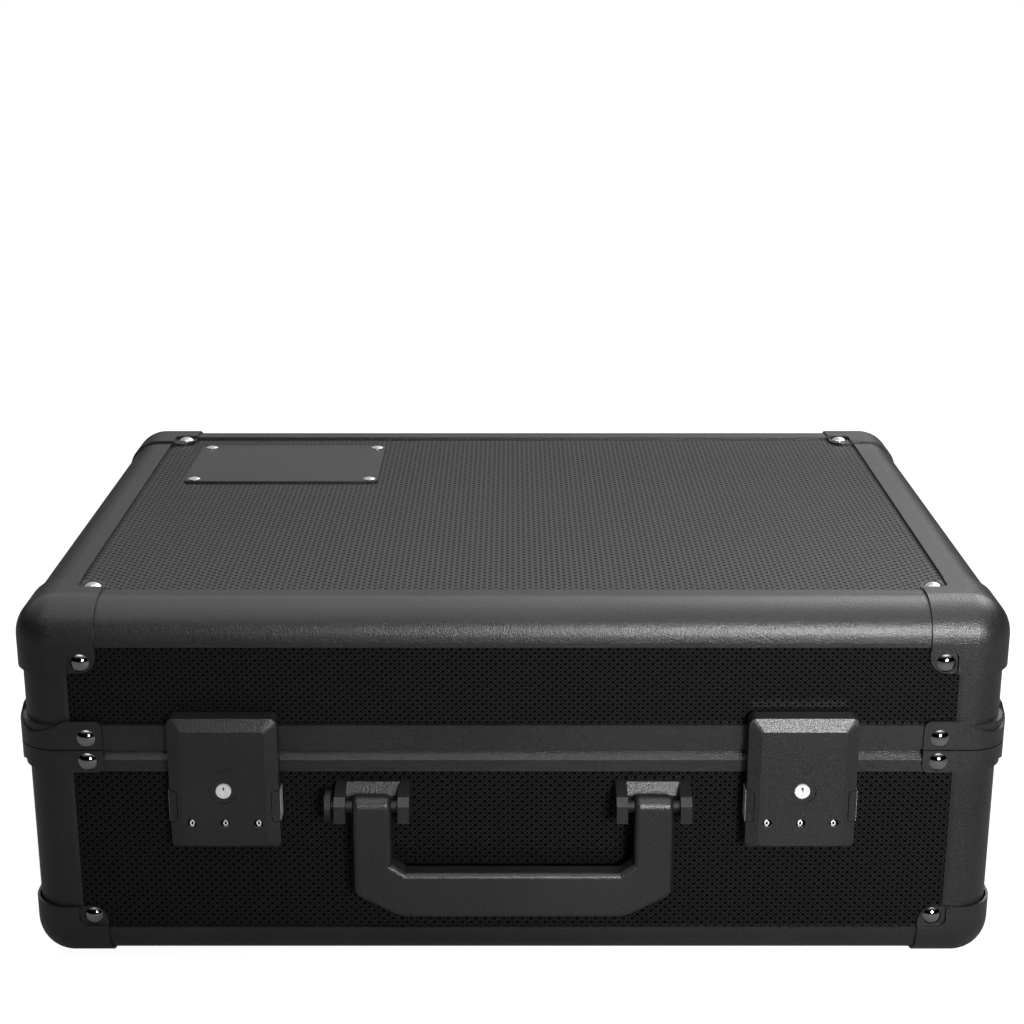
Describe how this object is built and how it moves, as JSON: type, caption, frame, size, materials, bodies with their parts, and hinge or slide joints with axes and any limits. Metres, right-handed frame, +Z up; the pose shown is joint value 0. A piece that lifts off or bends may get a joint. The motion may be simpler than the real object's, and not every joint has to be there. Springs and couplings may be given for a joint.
{
  "type": "graded card storage case",
  "caption": "Latched storage case with a hinged lid, framed in dark coated metal rails with ball corners, with combination locks, a swing handle and foam rows for graded card slabs.",
  "frame": {"origin": "under the middle of the whole outline, on the floor the case stands on", "axes": "+X along the case to the right as its user sees it, -Y towards the handle and the locks, +Z up"},
  "size_m": [0.4658, 0.3504, 0.1827],
  "materials": {
    "panel": "near-black embossed sheet with small raised lozenges, satin",
    "coated_metal": "dark grey textured powder coat",
    "cast_coated_metal": "dark grey textured powder coat on castings",
    "rivet_chrome": "bright plated",
    "zinc_steel": "plated steel",
    "key_nickel": "pale satin metal",
    "wheel_plastic": "black with white numbers",
    "badge_metal": "dark grey coated sheet, left bare",
    "foam": "black foam"
  },
  "bodies": {
    "base": {"base_back_board": "panel", "base_ball_corners": "coated_metal", "base_corner_posts": "coated_metal", "base_edge_rails": "coated_metal", "base_floor_board": "panel", "base_front_board": "panel", "base_hinge_leaves": "zinc_steel", "base_left_board": "panel", "base_right_board": "panel", "base_rim": "coated_metal", "base_rim_brackets": "coated_metal", "base_rivets": "rivet_chrome", "foam_dividers": "foam", "foam_floor_pad": "foam", "foam_walls": "foam", "handle_bracket_left": "cast_coated_metal", "handle_bracket_right": "cast_coated_metal", "handle_pins": "cast_coated_metal", "hinge_pins": "zinc_steel", "lock_keepers": "zinc_steel"},
    "lid": {"badge_plate": "badge_metal", "badge_rivets": "rivet_chrome", "lid_back_board": "panel", "lid_ball_corners": "coated_metal", "lid_corner_posts": "coated_metal", "lid_edge_rails": "coated_metal", "lid_foam_pad": "foam", "lid_front_board": "panel", "lid_hinge_leaves": "zinc_steel", "lid_left_board": "panel", "lid_right_board": "panel", "lid_rim": "coated_metal", "lid_rim_brackets": "coated_metal", "lid_rivets": "rivet_chrome", "lid_top_board": "panel", "lock_hinge_pins": "zinc_steel", "lock_plates": "zinc_steel"},
    "handle": {"handle": "cast_coated_metal"},
    "left_key_cylinder": {"left_key_cylinder": "key_nickel"},
    "left_lock": {"left_lock_cover": "cast_coated_metal", "left_wheel_axle": "zinc_steel"},
    "left_lock_left_button": {"left_lock_left_button": "cast_coated_metal"},
    "left_lock_right_button": {"left_lock_right_button": "cast_coated_metal"},
    "left_number_wheel_1": {"left_number_wheel_1": "wheel_plastic"},
    "left_number_wheel_2": {"left_number_wheel_2": "wheel_plastic"},
    "left_number_wheel_3": {"left_number_wheel_3": "wheel_plastic"},
    "right_key_cylinder": {"right_key_cylinder": "key_nickel"},
    "right_lock": {"right_lock_cover": "cast_coated_metal", "right_wheel_axle": "zinc_steel"},
    "right_lock_left_button": {"right_lock_left_button": "cast_coated_metal"},
    "right_lock_right_button": {"right_lock_right_button": "cast_coated_metal"},
    "right_number_wheel_1": {"right_number_wheel_1": "wheel_plastic"},
    "right_number_wheel_2": {"right_number_wheel_2": "wheel_plastic"},
    "right_number_wheel_3": {"right_number_wheel_3": "wheel_plastic"}
  },
  "joints": [
    {"name": "lid_hinge", "type": "hinge", "parent": "base", "child": "lid", "pos_m": [0, 0.17178, 0.1118], "axis": [-1, 0, 0], "range_deg": [0, 95]},
    {"name": "handle_swing", "type": "hinge", "parent": "base", "child": "handle", "pos_m": [0, -0.16778, 0.08785], "axis": [-1, 0, 0], "range_deg": [0, 100]},
    {"name": "left_lock_flip", "type": "hinge", "parent": "lid", "child": "left_lock", "pos_m": [-0.13299, -0.16203, 0.1269], "axis": [-1, 0, 0], "range_deg": [0, 75]},
    {"name": "left_lock_left_press", "type": "hinge", "parent": "left_lock", "child": "left_lock_left_button", "pos_m": [-0.15559, -0.16662, 0.0873], "axis": [0, 0, -1], "range_deg": [0, 9], "stiffness_Nm_per_rad": 0.1, "springref_deg": -5.73},
    {"name": "left_lock_right_press", "type": "hinge", "parent": "left_lock", "child": "left_lock_right_button", "pos_m": [-0.11039, -0.16662, 0.0873], "axis": [0, 0, 1], "range_deg": [0, 9], "stiffness_Nm_per_rad": 0.1, "springref_deg": -5.73},
    {"name": "left_number_spin_1", "type": "hinge", "parent": "left_lock", "child": "left_number_wheel_1", "pos_m": [-0.14839, -0.16243, 0.0784], "axis": [1, 0, 0], "continuous": true},
    {"name": "left_number_spin_2", "type": "hinge", "parent": "left_lock", "child": "left_number_wheel_2", "pos_m": [-0.13299, -0.16243, 0.0784], "axis": [1, 0, 0], "continuous": true},
    {"name": "left_number_spin_3", "type": "hinge", "parent": "left_lock", "child": "left_number_wheel_3", "pos_m": [-0.11759, -0.16243, 0.0784], "axis": [1, 0, 0], "continuous": true},
    {"name": "left_key_turn", "type": "hinge", "parent": "left_lock", "child": "left_key_cylinder", "pos_m": [-0.13299, -0.16503, 0.0956], "axis": [0, 1, 0], "range_deg": [0, 90]},
    {"name": "right_lock_flip", "type": "hinge", "parent": "lid", "child": "right_lock", "pos_m": [0.13299, -0.16203, 0.1269], "axis": [-1, 0, 0], "range_deg": [0, 75]},
    {"name": "right_lock_left_press", "type": "hinge", "parent": "right_lock", "child": "right_lock_left_button", "pos_m": [0.11039, -0.16662, 0.0873], "axis": [0, 0, -1], "range_deg": [0, 9], "stiffness_Nm_per_rad": 0.1, "springref_deg": -5.73},
    {"name": "right_lock_right_press", "type": "hinge", "parent": "right_lock", "child": "right_lock_right_button", "pos_m": [0.15559, -0.16662, 0.0873], "axis": [0, 0, 1], "range_deg": [0, 9], "stiffness_Nm_per_rad": 0.1, "springref_deg": -5.73},
    {"name": "right_number_spin_1", "type": "hinge", "parent": "right_lock", "child": "right_number_wheel_1", "pos_m": [0.11759, -0.16243, 0.0784], "axis": [1, 0, 0], "continuous": true},
    {"name": "right_number_spin_2", "type": "hinge", "parent": "right_lock", "child": "right_number_wheel_2", "pos_m": [0.13299, -0.16243, 0.0784], "axis": [1, 0, 0], "continuous": true},
    {"name": "right_number_spin_3", "type": "hinge", "parent": "right_lock", "child": "right_number_wheel_3", "pos_m": [0.14839, -0.16243, 0.0784], "axis": [1, 0, 0], "continuous": true},
    {"name": "right_key_turn", "type": "hinge", "parent": "right_lock", "child": "right_key_cylinder", "pos_m": [0.13299, -0.16503, 0.0956], "axis": [0, 1, 0], "range_deg": [0, 90]}
  ]
}
